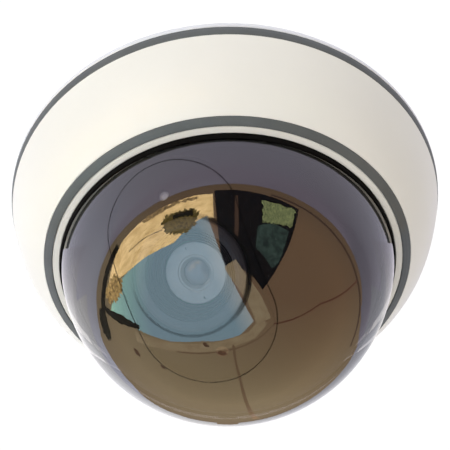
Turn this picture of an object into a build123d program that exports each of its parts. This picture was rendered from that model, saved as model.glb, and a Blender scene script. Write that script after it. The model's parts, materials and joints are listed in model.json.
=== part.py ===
from build123d import *

import os
from math import asin, cos, degrees, pi, radians, sin, sqrt

# Ceiling dome camera with a three-axis lens carrier.
#
# Millimetres, +Z up. The origin is the centre of the flat face that rests on the ceiling, and the
# camera hangs below it. The lens looks down and out at LENS_ANGLE from straight down, in the
# vertical plane at LENS_AZIMUTH.

# ---------------------------------------------------------------- driving dimensions
# ceiling plate
BASE_R = 60.3
BASE_THICK = 2.4
RIM_THICK = 1.96
WALL_IN, WALL_OUT, WALL_END = 53.0, 54.6, -9.6
SCREW_PCD_R, SCREW_HOLE_R = 44.0, 2.25
CABLE_R = 3.2

# cover: outside profile as radius and height, from the ceiling end to the dome end
FLANK = [(59.63, -4.67), (57.96, -10.31), (55.83, -15.71), (52.88, -20.66), (48.77, -25.0)]
FLANK_IN = [(57.13, -4.67), (55.69, -9.53), (53.68, -14.65), (50.97, -19.21), (47.9, -22.4)]
LIP_R, LIP_END = 44.55, -26.02
BEZEL_IN, BEZEL_OUT = 46.46, 48.77

# dome
CENTRE_Z = -20.17
DOME_R, DOME_WALL = 44.6, 2.0
DOME_IN = DOME_R - DOME_WALL
FLANGE_R, FLANGE_TOP, FLANGE_LOW = 46.4, -19.6, -21.4

# liner and slot
LINER_OUT, LINER_IN = 41.2, 40.2
SLOT_HALF = 16.8
SLOT_LOW, SLOT_HIGH = -4.0, 82.0

# electronics and pan stage
BOARD_R, BOARD_TOP, BOARD_LOW = 33.5, -5.4, -7.0
CHASSIS_R, CHASSIS_TOP, CHASSIS_LOW = 33.5, -10.5, -11.7
TABLE_R, TABLE_TOP, TABLE_LOW = 31.5, -11.9, -13.5
HUB_R, HUB_BORE, HUB_TOP = 12.0, 9.0, -10.3

# lens stage, distances measured from the dome's centre along the lens axis
LENS_ANGLE, LENS_AZIMUTH = 37.5, 25.5
VISOR_OUT, VISOR_IN, VISOR_HALF = 39.7, 38.2, 18.6
VISOR_UP, VISOR_DOWN = 46.5, 72.0
CUP_R, CUP_BACK = 15.4, 21.0
CARRIER_R, CARRIER_FLANGE_R, CARRIER_FRONT, CARRIER_BACK = 12.9, 13.7, 37.3, 20.6
COUNTERBORE_R = 14.45
SENSOR_BOARD_R, SENSOR_BOARD_BACK = 14.2, 19.0
BARREL_FRONT, BARREL_HEAD_R, THREAD_R = 32.0, 7.6, 5.98
LED_ANGLE, SENSOR_ANGLE = 30.5, -29.6

os.makedirs("parts", exist_ok=True)

# ---------------------------------------------------------------- directions and planes
CENTRE = Vector(0, 0, CENTRE_Z)
OUTWARD = Vector(-sin(radians(LENS_AZIMUTH)), -cos(radians(LENS_AZIMUTH)), 0)
TILT_DIR = Vector(cos(radians(LENS_AZIMUTH)), -sin(radians(LENS_AZIMUTH)), 0)
TILT_AXIS = Axis(CENTRE, TILT_DIR * -1)
OUTWARD_DEG = 270 - LENS_AZIMUTH


def aim(angle):
    """Unit direction at an angle from straight down, in the vertical plane of the lens."""
    return OUTWARD * sin(radians(angle)) + Vector(0, 0, -cos(radians(angle)))


def facing(angle):
    """Plane through the dome's centre: its normal is aim(angle), its x runs along the tilt axis."""
    return Plane(origin=CENTRE, x_dir=TILT_DIR, z_dir=aim(angle))


def beside(angle):
    """Plane through the dome's centre: x along the tilt axis, y along aim(angle)."""
    return Plane(origin=CENTRE, x_dir=TILT_DIR, z_dir=TILT_DIR.cross(aim(angle)))


LENS_AXIS = Axis(CENTRE, aim(LENS_ANGLE))
LENS_FACE = facing(LENS_ANGLE)
LENS_SIDE = beside(LENS_ANGLE)


def save(piece, name):
    """Labels a finished piece and writes its STEP file."""
    piece.part.label = name
    export_step(piece.part, f"parts/{name}.step")


def turned(points, plane=Plane.XZ, axis=Axis.Z):
    """A ring or disc turned from a closed outline of (radius, height) points."""
    with BuildPart() as piece:
        with BuildSketch(plane):
            with BuildLine():
                Polyline(*points, close=True)
            make_face()
        revolve(axis=axis)
    return piece


def cap(edge_r, edge_h, top_h):
    """Spherical cap as an arc from its edge to its top on the turning axis."""
    rise = top_h - edge_h
    ball = (edge_r**2 + rise**2) / (2 * abs(rise))
    middle = top_h - ball * (1 if rise > 0 else -1)
    half = asin(edge_r / ball) / 2
    side = ball * cos(half) * (1 if rise > 0 else -1)
    return ThreePointArc((edge_r, edge_h), (ball * sin(half), middle + side), (0, top_h))


def headed_screws(spots, head_r, head_h, shank_r, shank_h, drive_r):
    """Pan-head screws: each spot is a plane at the seat, whose normal points out of the head."""
    with BuildPart() as piece:
        for spot in spots:
            with BuildSketch(spot):
                Circle(head_r)
            extrude(amount=head_h)
            with BuildSketch(spot):
                Circle(shank_r)
            extrude(amount=-shank_h)
            with BuildSketch(spot.offset(head_h)):
                Rectangle(2 * drive_r, 0.32 * drive_r)
                Rectangle(0.32 * drive_r, 2 * drive_r)
            extrude(amount=-0.55 * head_h, mode=Mode.SUBTRACT)
    return piece


def ring_spots(radius, angles, height, up=False):
    """Planes on a circle round the vertical axis, facing down unless up is set."""
    spots = []
    for angle in angles:
        x = radius * cos(radians(angle))
        y = radius * sin(radians(angle))
        spots.append(Plane(origin=(x, y, height), x_dir=(1, 0, 0), z_dir=(0, 0, 1 if up else -1)))
    return spots


BOARD_SCREWS_AT = (20, 140, 200, 320)
CHASSIS_SCREWS_AT = (80, 170, 260, 350)
CEILING_SCREWS_AT = (30, 150, 270)
SPRINGS_AT = (90, 210, 330)
LUGS_AT = (0, 60, 120, 180, 240, 300)
LUG_R = 48.8

# ---------------------------------------------------------------- ceiling plate
with BuildPart() as mounting_base:
    with BuildSketch(Plane.XZ):
        with BuildLine():
            Polyline(
                (8.0, 0), (46.8, 0), (46.8, -1.0), (55.2, -1.0), (55.2, 0), (59.9, 0), (60.3, -0.4),
                (60.3, -1.66), (60.0, -RIM_THICK), (55.6, -RIM_THICK), (55.6, -BASE_THICK),
                (WALL_OUT, -BASE_THICK), (WALL_OUT, WALL_END), (WALL_IN, WALL_END),
                (WALL_IN, -BASE_THICK), (8.0, -BASE_THICK), close=True,
            )
        make_face()
    revolve(axis=Axis.Z)
    # posts for the main board and for the chassis plate
    with BuildSketch(Plane.XY.offset(-BASE_THICK)):
        for angle in BOARD_SCREWS_AT:
            with PolarLocations(27.0, 1, start_angle=angle):
                Circle(2.6)
    extrude(amount=BOARD_TOP + BASE_THICK)
    with BuildSketch(Plane.XY.offset(-BASE_THICK)):
        for angle in CHASSIS_SCREWS_AT:
            with PolarLocations(30.0, 1, start_angle=angle):
                Circle(2.4)
    extrude(amount=CHASSIS_TOP + BASE_THICK)
    with BuildSketch(Plane.XY.offset(BOARD_TOP)):
        for angle in BOARD_SCREWS_AT:
            with PolarLocations(27.0, 1, start_angle=angle):
                Circle(0.9)
    extrude(amount=3.2, mode=Mode.SUBTRACT)
    with BuildSketch(Plane.XY.offset(CHASSIS_TOP)):
        for angle in CHASSIS_SCREWS_AT:
            with PolarLocations(30.0, 1, start_angle=angle):
                Circle(1.1)
    extrude(amount=7.0, mode=Mode.SUBTRACT)
    # ribs that tie the wall to the plate
    with BuildSketch(Plane.XY.offset(-BASE_THICK)):
        for angle in (0, 60, 120, 180, 240, 300):
            with PolarLocations(50.9, 1, start_angle=angle):
                Rectangle(4.6, 1.4)
    extrude(amount=-4.6)
    # ceiling screw holes with raised collars
    with BuildSketch(Plane.XY.offset(-BASE_THICK)):
        for angle in CEILING_SCREWS_AT:
            with PolarLocations(SCREW_PCD_R, 1, start_angle=angle):
                Circle(5.2)
    extrude(amount=-1.2)
    with BuildSketch(Plane.XY):
        for angle in CEILING_SCREWS_AT:
            with PolarLocations(SCREW_PCD_R, 1, start_angle=angle):
                Circle(SCREW_HOLE_R)
    extrude(amount=-5, mode=Mode.SUBTRACT)
save(mounting_base, "mounting_base")

ceiling_gasket = turned([(47.0, 0), (55.0, 0), (55.0, -0.98), (47.0, -0.98)])
save(ceiling_gasket, "ceiling_gasket")

cable_grommet = turned([
    (CABLE_R, 0), (7.95, 0), (7.95, -2.45), (10.2, -2.45), (10.2, -3.5), (9.6, -4.1),
    (6.0, -4.1), (5.2, -5.0), (CABLE_R, -5.0),
])
save(cable_grommet, "cable_grommet")

base_seal_ring = turned([
    (56.0, -2.0), (60.0, -2.0), (60.22, -2.2), (60.05, -3.3), (59.68, -4.4), (59.4, -4.62),
    (57.0, -4.62), (56.0, -3.6),
])
save(base_seal_ring, "base_seal_ring")


# ---------------------------------------------------------------- cover springs
def spring_outline(angle, half_width):
    """Marks out the bent strip's three legs as arcs about the vertical axis."""
    return [
        (54.63, 55.12, -3.4, WALL_END - 0.02, angle, half_width),
        (52.45, 55.12, WALL_END - 0.02, WALL_END - 0.52, angle, half_width),
        (52.45, 52.97, -5.4, WALL_END - 0.02, angle, half_width),
    ]


with BuildPart() as cover_springs:
    for spring_angle in SPRINGS_AT:
        for r_in, r_out, top, low, angle, half_width in spring_outline(spring_angle, 5.2):
            start = angle - half_width
            with BuildSketch(Plane.XZ.rotated((0, 0, start))):
                with Locations(((r_in + r_out) / 2, (top + low) / 2)):
                    Rectangle(r_out - r_in, top - low)
            revolve(axis=Axis.Z, revolution_arc=2 * half_width)
save(cover_springs, "cover_springs")

# ---------------------------------------------------------------- cover
with BuildPart() as housing_cover:
    with BuildSketch(Plane.XZ):
        with BuildLine():
            Polyline((57.13, -4.67), (59.33, -4.67), (59.6, -4.95))
            Spline((59.6, -4.95), *FLANK[1:4], (48.98, -24.82), tangents=None)
            Polyline(
                (48.98, -24.82), (48.78, -24.9), (48.28, -23.62), (46.42, -24.3), (46.42, -25.72),
                (46.22, -25.93), (LIP_R + 0.2, LIP_END), (LIP_R, -25.85), (LIP_R, -25.5),
                (LIP_R + 0.5, -24.6), (LIP_R + 0.5, -23.35), (46.75, -23.35),
                (46.75, -19.6), (47.9, -19.6), (47.9, -22.4),
            )
            Spline(*reversed(FLANK_IN))
        make_face()
    revolve(axis=Axis.Z)
    # bosses for the screws of the dome retainer
    with BuildSketch(Plane.XY.offset(-19.6)):
        for angle in LUGS_AT:
            with PolarLocations(LUG_R, 1, start_angle=angle):
                Circle(1.9)
    extrude(amount=-2.4)
    with BuildSketch(Plane.XY.offset(-19.6)):
        for angle in LUGS_AT:
            with PolarLocations(LUG_R, 1, start_angle=angle):
                Circle(0.8)
    extrude(amount=-2.2, mode=Mode.SUBTRACT)
    # pads that the springs press on
    for angle in SPRINGS_AT:
        with BuildSketch(Plane.XZ.rotated((0, 0, angle - 6.2))):
            with BuildLine():
                Polyline((55.17, -5.0), (57.4, -5.0), (56.2, -9.6), (55.17, -9.6), close=True)
            make_face()
        revolve(axis=Axis.Z, revolution_arc=12.4)
save(housing_cover, "housing_cover")

bezel_ring = turned([
    (BEZEL_IN, -24.42), (48.22, -23.78), (BEZEL_OUT - 0.06, -24.95), (BEZEL_OUT - 0.2, -25.2),
    (47.7, -25.66), (46.9, -25.96), (BEZEL_IN + 0.1, -25.98), (BEZEL_IN, -25.8),
])
save(bezel_ring, "bezel_ring")

# ---------------------------------------------------------------- dome and its clamp
with BuildPart() as dome_bubble:
    low_r = sqrt(DOME_R**2 - (FLANGE_LOW - CENTRE_Z) ** 2)
    with BuildSketch(Plane.XZ):
        with BuildLine():
            Polyline(
                (low_r, FLANGE_LOW), (FLANGE_R, FLANGE_LOW), (FLANGE_R, FLANGE_TOP),
                (DOME_IN, FLANGE_TOP), (DOME_IN, CENTRE_Z),
            )
            ThreePointArc(
                (DOME_IN, CENTRE_Z),
                (DOME_IN * cos(pi / 4), CENTRE_Z - DOME_IN * sin(pi / 4)),
                (0, CENTRE_Z - DOME_IN),
            )
            Line((0, CENTRE_Z - DOME_IN), (0, CENTRE_Z - DOME_R))
            ThreePointArc(
                (0, CENTRE_Z - DOME_R),
                (DOME_R * cos(pi / 4), CENTRE_Z - DOME_R * sin(pi / 4)),
                (low_r, FLANGE_LOW),
            )
        make_face()
    revolve(axis=Axis.Z)
save(dome_bubble, "dome_bubble")

# rubber seal: its wide part sits above the cover's lip, its thin end wipes the dome below the lip
dome_seal = turned([
    (44.63, -21.44), (46.6, -21.44), (46.6, -23.31), (44.98, -23.31), (44.98, -24.65),
    (44.5, -25.5), (44.5, -25.95), (44.52, -26.3), (44.4, -27.2), (44.12, -27.5),
    (44.05, -27.45), (44.24, -26.2), (44.27, -25.9), (44.45, -24.2), (44.58, -22.6),
])
save(dome_seal, "dome_seal")

with BuildPart() as dome_retainer:
    with BuildSketch(Plane.XY.offset(-17.9)):
        Circle(47.6)
        for angle in LUGS_AT:
            with PolarLocations(LUG_R, 1, start_angle=angle):
                Circle(1.8)
        Circle(43.2, mode=Mode.SUBTRACT)
        for angle in LUGS_AT:
            with PolarLocations(LUG_R, 1, start_angle=angle):
                Circle(0.95, mode=Mode.SUBTRACT)
    extrude(amount=-1.65)
save(dome_retainer, "dome_retainer")

dome_retainer_screws = headed_screws(
    ring_spots(LUG_R, LUGS_AT, -17.88, up=True), 1.5, 1.0, 0.74, 3.6, 0.95
)
save(dome_retainer_screws, "dome_retainer_screws")

# ---------------------------------------------------------------- main board
with BuildPart() as main_board:
    with BuildSketch(Plane.XY.offset(BOARD_TOP - 0.02)):
        Circle(BOARD_R)
        Circle(12.0, mode=Mode.SUBTRACT)
        for angle in BOARD_SCREWS_AT:
            with PolarLocations(27.0, 1, start_angle=angle):
                Circle(1.15, mode=Mode.SUBTRACT)
        for angle in CHASSIS_SCREWS_AT:
            with PolarLocations(30.0, 1, start_angle=angle):
                Circle(2.9, mode=Mode.SUBTRACT)
                with Locations((3.0, 0)):
                    Rectangle(6.0, 5.8, mode=Mode.SUBTRACT)
    extrude(amount=BOARD_LOW - BOARD_TOP)
save(main_board, "main_board")

BOARD_FACE = BOARD_LOW - 0.04
board_screws = headed_screws(ring_spots(27.0, BOARD_SCREWS_AT, BOARD_FACE), 1.8, 1.2, 0.86, 4.4, 1.1)
save(board_screws, "board_screws")


def board_spot(radius, angle, turn=0):
    """A place on the lower face of the main board, with its own turn about the vertical."""
    x = radius * cos(radians(angle))
    y = radius * sin(radians(angle))
    spot = Plane(origin=(x, y, BOARD_FACE), x_dir=(1, 0, 0), z_dir=(0, 0, -1))
    return spot.rotated((0, 0, -angle - turn))


with BuildPart() as processor_chip:
    with BuildSketch(board_spot(22.5, 230)):
        Rectangle(10, 10)
    extrude(amount=1.2)
    chamfer(processor_chip.faces().sort_by(Axis.Z)[0].edges(), 0.2)
    with BuildSketch(board_spot(22.5, 230).offset(1.2)):
        with Locations((-3.8, -3.8)):
            Circle(0.5)
    extrude(amount=-0.15, mode=Mode.SUBTRACT)
save(processor_chip, "processor_chip")

with BuildPart() as power_terminal:
    with BuildSketch(board_spot(25.5, 110)):
        Rectangle(6, 8)
    extrude(amount=2.9)
    with BuildSketch(board_spot(25.5, 110).offset(2.9)):
        with GridLocations(0, 3.8, 1, 2):
            Rectangle(3.2, 2.4)
    extrude(amount=-1.9, mode=Mode.SUBTRACT)
save(power_terminal, "power_terminal")

with BuildPart() as video_socket:
    with BuildSketch(board_spot(25.0, 290)):
        Rectangle(5, 11)
    extrude(amount=2.9)
    with BuildSketch(board_spot(25.0, 290).offset(2.9)):
        Rectangle(3.4, 9.4)
    extrude(amount=-2.2, mode=Mode.SUBTRACT)
    with BuildSketch(board_spot(25.0, 290).offset(0.6)):
        with GridLocations(0, 1.6, 1, 5):
            Rectangle(0.5, 0.5)
    extrude(amount=1.7)
save(video_socket, "video_socket")

with BuildPart() as capacitors:
    for cap_angle in (55, 45, 35):
        with BuildSketch(board_spot(19.5, cap_angle)):
            Circle(1.6)
        extrude(amount=2.9)
    for cap_angle in (52, 40):
        with BuildSketch(board_spot(25.5, cap_angle)):
            Circle(2.3)
        extrude(amount=3.0)
save(capacitors, "capacitors")

with BuildPart() as power_inductor:
    with BuildSketch(board_spot(20.0, 140 + 12)):
        RectangleRounded(6, 6, 1.2)
    extrude(amount=2.6)
    chamfer(power_inductor.faces().sort_by(Axis.Z)[0].edges(), 0.3)
save(power_inductor, "power_inductor")

with BuildPart() as ribbon_socket:
    with BuildSketch(board_spot(16.5, 0)):
        Rectangle(3.2, 12)
    extrude(amount=1.4)
    with BuildSketch(board_spot(16.5, 0).offset(1.4)):
        with Locations((-0.7, 0)):
            Rectangle(0.8, 9.6)
    extrude(amount=-1.0, mode=Mode.SUBTRACT)
save(ribbon_socket, "ribbon_socket")

# ---------------------------------------------------------------- chassis plate and pan stage
STOP_DEG = 90
with BuildPart() as chassis_plate:
    with BuildSketch(Plane.XY.offset(CHASSIS_TOP - 0.02)):
        Circle(CHASSIS_R)
        Circle(HUB_R + 0.05, mode=Mode.SUBTRACT)
    extrude(amount=CHASSIS_LOW - CHASSIS_TOP)
    for angle in CHASSIS_SCREWS_AT:
        with BuildSketch(Plane.XY.offset(CHASSIS_LOW - 0.02)):
            with PolarLocations(30.0, 1, start_angle=angle):
                Circle(2.5)
        with BuildSketch(Plane.XY.offset(CHASSIS_TOP - 0.02)):
            with PolarLocations(30.0, 1, start_angle=angle):
                Circle(1.3)
        loft(mode=Mode.SUBTRACT)
    # stop that the pan lug meets at either end of the turn
    with BuildSketch(Plane.XZ.rotated((0, 0, STOP_DEG - 2))):
        with Locations((32.65, (CHASSIS_LOW - 13.1) / 2 - 0.02)):
            Rectangle(1.6, 13.1 + CHASSIS_LOW + 0.1)
    revolve(axis=Axis.Z, revolution_arc=4)
save(chassis_plate, "chassis_plate")

with BuildPart() as chassis_screws:
    for angle in CHASSIS_SCREWS_AT:
        with BuildSketch(Plane.XY.offset(CHASSIS_LOW - 0.02)):
            with PolarLocations(30.0, 1, start_angle=angle):
                Circle(2.4)
        with BuildSketch(Plane.XY.offset(CHASSIS_TOP - 0.06)):
            with PolarLocations(30.0, 1, start_angle=angle):
                Circle(1.15)
        loft()
        with BuildSketch(Plane.XY.offset(CHASSIS_TOP - 0.06)):
            with PolarLocations(30.0, 1, start_angle=angle):
                Circle(1.05)
        extrude(amount=6.0)
        with BuildSketch(Plane.XY.offset(CHASSIS_LOW - 0.02)):
            with PolarLocations(30.0, 1, start_angle=angle):
                Rectangle(2.6, 0.5)
                Rectangle(0.5, 2.6)
        extrude(amount=0.6, mode=Mode.SUBTRACT)
save(chassis_screws, "chassis_screws")

YOKE_SCREWS = [(-11.5, 5.0), (11.5, 5.0), (-11.5, -5.0), (11.5, -5.0)]
TABS_AT = (OUTWARD_DEG + 90, OUTWARD_DEG + 180, OUTWARD_DEG + 270)
TABLE_UNDER = Plane(origin=(0, 0, TABLE_LOW), x_dir=TILT_DIR, z_dir=(0, 0, -1))

with BuildPart() as pan_turntable:
    with BuildSketch(Plane.XY.offset(TABLE_TOP)):
        Circle(TABLE_R)
        Circle(HUB_BORE, mode=Mode.SUBTRACT)
    extrude(amount=TABLE_LOW - TABLE_TOP)
    with BuildSketch(Plane.XY.offset(TABLE_TOP)):
        Circle(HUB_R)
        Circle(HUB_BORE, mode=Mode.SUBTRACT)
    extrude(amount=HUB_TOP - TABLE_TOP)
    # pan lug
    with BuildSketch(Plane.XZ.rotated((0, 0, STOP_DEG + 178))):
        with Locations((32.2, (TABLE_TOP + TABLE_LOW) / 2)):
            Rectangle(1.6, TABLE_TOP - TABLE_LOW)
    revolve(axis=Axis.Z, revolution_arc=4)
    # threaded holes for the yoke, for the liner tabs and for the retaining ring
    with BuildSketch(TABLE_UNDER):
        with Locations(*YOKE_SCREWS):
            Circle(0.8)
    extrude(amount=-1.5, mode=Mode.SUBTRACT)
    with BuildSketch(Plane.XY.offset(TABLE_LOW)):
        for angle in TABS_AT:
            with PolarLocations(28.6, 1, start_angle=angle):
                Circle(0.8)
    extrude(amount=1.5, mode=Mode.SUBTRACT)
    with BuildSketch(Plane.XY.offset(HUB_TOP)):
        with PolarLocations(10.5, 3, start_angle=30):
            Circle(0.65)
    extrude(amount=-2.4, mode=Mode.SUBTRACT)
save(pan_turntable, "pan_turntable")

with BuildPart() as pan_retainer:
    with BuildSketch(Plane.XY.offset(HUB_TOP + 0.02)):
        Circle(15.4)
        Circle(HUB_BORE, mode=Mode.SUBTRACT)
        with PolarLocations(10.5, 3, start_angle=30):
            Circle(0.85, mode=Mode.SUBTRACT)
    extrude(amount=1.1)
save(pan_retainer, "pan_retainer")

pan_retainer_screws = headed_screws(
    ring_spots(10.5, (30, 150, 270), HUB_TOP + 1.14, up=True), 1.3, 0.8, 0.6, 3.2, 0.8
)
save(pan_retainer_screws, "pan_retainer_screws")

# ---------------------------------------------------------------- yoke
ARM_IN, ARM_OUT, PIVOT_R = 17.6, 19.4, 5.0
YOKE_TOP = TABLE_LOW - 0.02
YOKE_LOW = YOKE_TOP - 1.5
PIVOT_X = Plane(origin=CENTRE, x_dir=OUTWARD * -1, z_dir=TILT_DIR)

with BuildPart() as gimbal_yoke:
    with BuildSketch(Plane(origin=(0, 0, YOKE_TOP), x_dir=TILT_DIR, z_dir=(0, 0, -1))):
        RectangleRounded(2 * ARM_OUT, 16, 1.5)
        Circle(HUB_BORE - 1.6, mode=Mode.SUBTRACT)
        with Locations(*YOKE_SCREWS):
            Circle(1.0, mode=Mode.SUBTRACT)
    extrude(amount=1.5)
    for side in (ARM_IN, -ARM_OUT):
        with BuildSketch(PIVOT_X.offset(side)):
            Circle(PIVOT_R)
            with Locations((0, (YOKE_LOW + 0.5 - CENTRE_Z) / 2)):
                Rectangle(2 * PIVOT_R, YOKE_LOW + 0.5 - CENTRE_Z)
        extrude(amount=ARM_OUT - ARM_IN)
    with BuildSketch(PIVOT_X.offset(-ARM_OUT - 1)):
        Circle(1.55)
    extrude(amount=2 * ARM_OUT + 2, mode=Mode.SUBTRACT)
save(gimbal_yoke, "gimbal_yoke")

yoke_spots = []
for spot_x, spot_y in YOKE_SCREWS:
    seat = TILT_DIR * spot_x + OUTWARD * spot_y + Vector(0, 0, YOKE_LOW - 0.02)
    yoke_spots.append(Plane(origin=seat, x_dir=TILT_DIR, z_dir=(0, 0, -1)))
yoke_screws = headed_screws(yoke_spots, 1.6, 0.9, 0.75, 2.9, 0.95)
save(yoke_screws, "yoke_screws")

pivot_spots = [
    Plane(origin=CENTRE + TILT_DIR * (ARM_OUT + 0.02), x_dir=(0, 0, 1), z_dir=TILT_DIR),
    Plane(origin=CENTRE - TILT_DIR * (ARM_OUT + 0.02), x_dir=(0, 0, 1), z_dir=TILT_DIR * -1),
]
pivot_screws = headed_screws(pivot_spots, 3.2, 1.4, 1.5, 4.3, 1.6)
save(pivot_screws, "pivot_screws")

with BuildPart() as tilt_washers:
    for side in (ARM_IN - 0.54, -ARM_IN + 0.04):
        with BuildSketch(PIVOT_X.offset(side)):
            Circle(3.6)
            Circle(1.56, mode=Mode.SUBTRACT)
        extrude(amount=0.5)
save(tilt_washers, "tilt_washers")

# ---------------------------------------------------------------- liner with its slot
SLOT_RHO = 41.0


def slot_cutter():
    """Solid whose walls stand across the liner along the slot, which has half-round ends."""
    end_turn = degrees(asin(SLOT_HALF / SLOT_RHO))
    with BuildPart() as cutter:
        with BuildSketch(beside(SLOT_LOW + end_turn)):
            with Locations((0, SLOT_RHO)):
                Rectangle(2 * SLOT_HALF, 10)
        revolve(axis=TILT_AXIS, revolution_arc=SLOT_HIGH - SLOT_LOW - 2 * end_turn)
        for end in (SLOT_LOW + end_turn, SLOT_HIGH - end_turn):
            with BuildSketch(facing(end).offset(sqrt(SLOT_RHO**2 - SLOT_HALF**2) - 9)):
                Circle(SLOT_HALF)
            extrude(amount=18)
    return cutter


slot = slot_cutter()

with BuildPart() as inner_liner:
    with BuildSketch(Plane.XZ):
        with BuildLine():
            Polyline(
                (LINER_IN, CENTRE_Z), (LINER_IN, YOKE_TOP), (LINER_OUT, YOKE_TOP),
                (LINER_OUT, CENTRE_Z),
            )
            ThreePointArc(
                (LINER_OUT, CENTRE_Z),
                (LINER_OUT * cos(pi / 4), CENTRE_Z - LINER_OUT * sin(pi / 4)),
                (0, CENTRE_Z - LINER_OUT),
            )
            Line((0, CENTRE_Z - LINER_OUT), (0, CENTRE_Z - LINER_IN))
            ThreePointArc(
                (0, CENTRE_Z - LINER_IN),
                (LINER_IN * cos(pi / 4), CENTRE_Z - LINER_IN * sin(pi / 4)),
                (LINER_IN, CENTRE_Z),
            )
        make_face()
    revolve(axis=Axis.Z)
    add(slot.part, mode=Mode.SUBTRACT)
    for angle in TABS_AT:
        tab_plane = Plane(origin=(0, 0, YOKE_TOP), x_dir=(1, 0, 0), z_dir=(0, 0, -1))
        with BuildSketch(tab_plane.rotated((0, 0, -angle))):
            with Locations((33.2, 0)):
                Rectangle(15.0, 9.0)
            with Locations((28.6, 0)):
                Circle(1.0, mode=Mode.SUBTRACT)
        extrude(amount=1.2)
save(inner_liner, "inner_liner")

liner_screws = headed_screws(
    ring_spots(28.6, TABS_AT, YOKE_TOP - 1.22), 1.6, 0.9, 0.75, 2.6, 0.95
)
save(liner_screws, "liner_screws")

# ---------------------------------------------------------------- tilt cradle
with BuildPart() as tilt_cradle:
    # curved shutter band that closes the slot from behind
    edge_out = sqrt(VISOR_OUT**2 - VISOR_HALF**2)
    edge_in = sqrt(VISOR_IN**2 - VISOR_HALF**2)
    with BuildSketch(beside(LENS_ANGLE - VISOR_DOWN)):
        with BuildLine():
            ThreePointArc((-VISOR_HALF, edge_out), (0, VISOR_OUT), (VISOR_HALF, edge_out))
            Line((VISOR_HALF, edge_out), (VISOR_HALF, edge_in))
            ThreePointArc((VISOR_HALF, edge_in), (0, VISOR_IN), (-VISOR_HALF, edge_in))
            Line((-VISOR_HALF, edge_in), (-VISOR_HALF, edge_out))
        make_face()
    revolve(axis=TILT_AXIS, revolution_arc=VISOR_UP + VISOR_DOWN)
    # cup round the lens carrier
    with BuildSketch(LENS_FACE.offset(CUP_BACK)):
        Circle(CUP_R)
    extrude(amount=35.2 - CUP_BACK)
    # side plates down to the pivots
    for side in (15.0, -17.0):
        with BuildSketch(PIVOT_X.offset(side).rotated((0, 0, 0))):
            Circle(4.5)
        extrude(amount=2.0)
        with BuildSketch(Plane(origin=CENTRE, x_dir=aim(LENS_ANGLE), z_dir=TILT_DIR).offset(side)):
            with BuildLine():
                Polyline((0, -4.4), (21.0, -9.0), (33.4, -9.0), (33.4, 9.0), (21.0, 9.0), (0, 4.4),
                         close=True)
            make_face()
        extrude(amount=2.0)
    # bore and counterbore for the lens carrier
    with BuildSketch(LENS_FACE.offset(CUP_BACK - 1)):
        Circle(CARRIER_R + 0.05)
    extrude(amount=25, mode=Mode.SUBTRACT)
    with BuildSketch(LENS_FACE.offset(CARRIER_FRONT - 1.25)):
        Circle(COUNTERBORE_R)
    extrude(amount=5, mode=Mode.SUBTRACT)
    # pivot holes
    with BuildSketch(PIVOT_X.offset(-20)):
        Circle(1.55)
    extrude(amount=40, mode=Mode.SUBTRACT)
    # seats of the indicator and of the light sensor
    for angle in (LENS_ANGLE + LED_ANGLE, LENS_ANGLE + SENSOR_ANGLE):
        with BuildSketch(facing(angle).offset(30)):
            Circle(1.55)
        extrude(amount=12, mode=Mode.SUBTRACT)
save(tilt_cradle, "tilt_cradle")

led_side = beside(LENS_ANGLE + LED_ANGLE)
led_axis = Axis(CENTRE, aim(LENS_ANGLE + LED_ANGLE))
with BuildPart() as status_led:
    with BuildSketch(led_side):
        with BuildLine():
            Polyline((0, 36.6), (1.9, 36.6), (1.9, 38.0), (1.5, 38.05), (1.5, 39.1))
            cap(1.5, 39.1, 39.95)
            Line((0, 39.95), (0, 36.6))
        make_face()
    revolve(axis=led_axis)
save(status_led, "status_led")

eye_axis = Axis(CENTRE, aim(LENS_ANGLE + SENSOR_ANGLE))
light_sensor = turned(
    [(0, 36.6), (1.9, 36.6), (1.9, 38.0), (1.5, 38.05), (1.5, 39.72), (1.05, 39.72), (0.9, 39.35),
     (0, 39.35)],
    beside(LENS_ANGLE + SENSOR_ANGLE), eye_axis,
)
save(light_sensor, "light_sensor")

# ---------------------------------------------------------------- lens carrier
RIB_COUNT = 3
RIB_OUTER, RIB_INNER, RIB_FRONT, RIB_BACK = 10.75, 8.4, 36.9, 33.3
LENS_BORE_R = 7.95


def carrier_outline():
    """Half section of the hood: rounded front rim, then grooved steps down to the lens."""
    points = [
        (CARRIER_R, CARRIER_BACK), (CARRIER_R, CARRIER_FRONT - 1.2),
        (CARRIER_FLANGE_R, CARRIER_FRONT - 1.2), (CARRIER_FLANGE_R, CARRIER_FRONT - 0.95),
        (CARRIER_FLANGE_R - 0.35, CARRIER_FRONT - 0.6), (CARRIER_FLANGE_R - 1.0, CARRIER_FRONT - 0.25),
        (CARRIER_FLANGE_R - 1.7, CARRIER_FRONT - 0.06), (RIB_OUTER + 0.35, CARRIER_FRONT),
    ]
    run = (RIB_OUTER - RIB_INNER) / RIB_COUNT
    drop = (RIB_FRONT - RIB_BACK) / RIB_COUNT
    for step in range(RIB_COUNT + 1):
        radius = RIB_OUTER - run * step
        height = RIB_FRONT - drop * step
        points.append((radius + 0.25, height))
        points.append((radius + 0.25, height - 0.9))
        points.append((radius - 0.2, height - 0.9))
        points.append((radius - 0.2, height - 0.1))
    points += [(LENS_BORE_R, RIB_BACK - 0.12), (LENS_BORE_R, 31.3), (11.2, 31.3), (11.2, CARRIER_BACK)]
    return points


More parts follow.
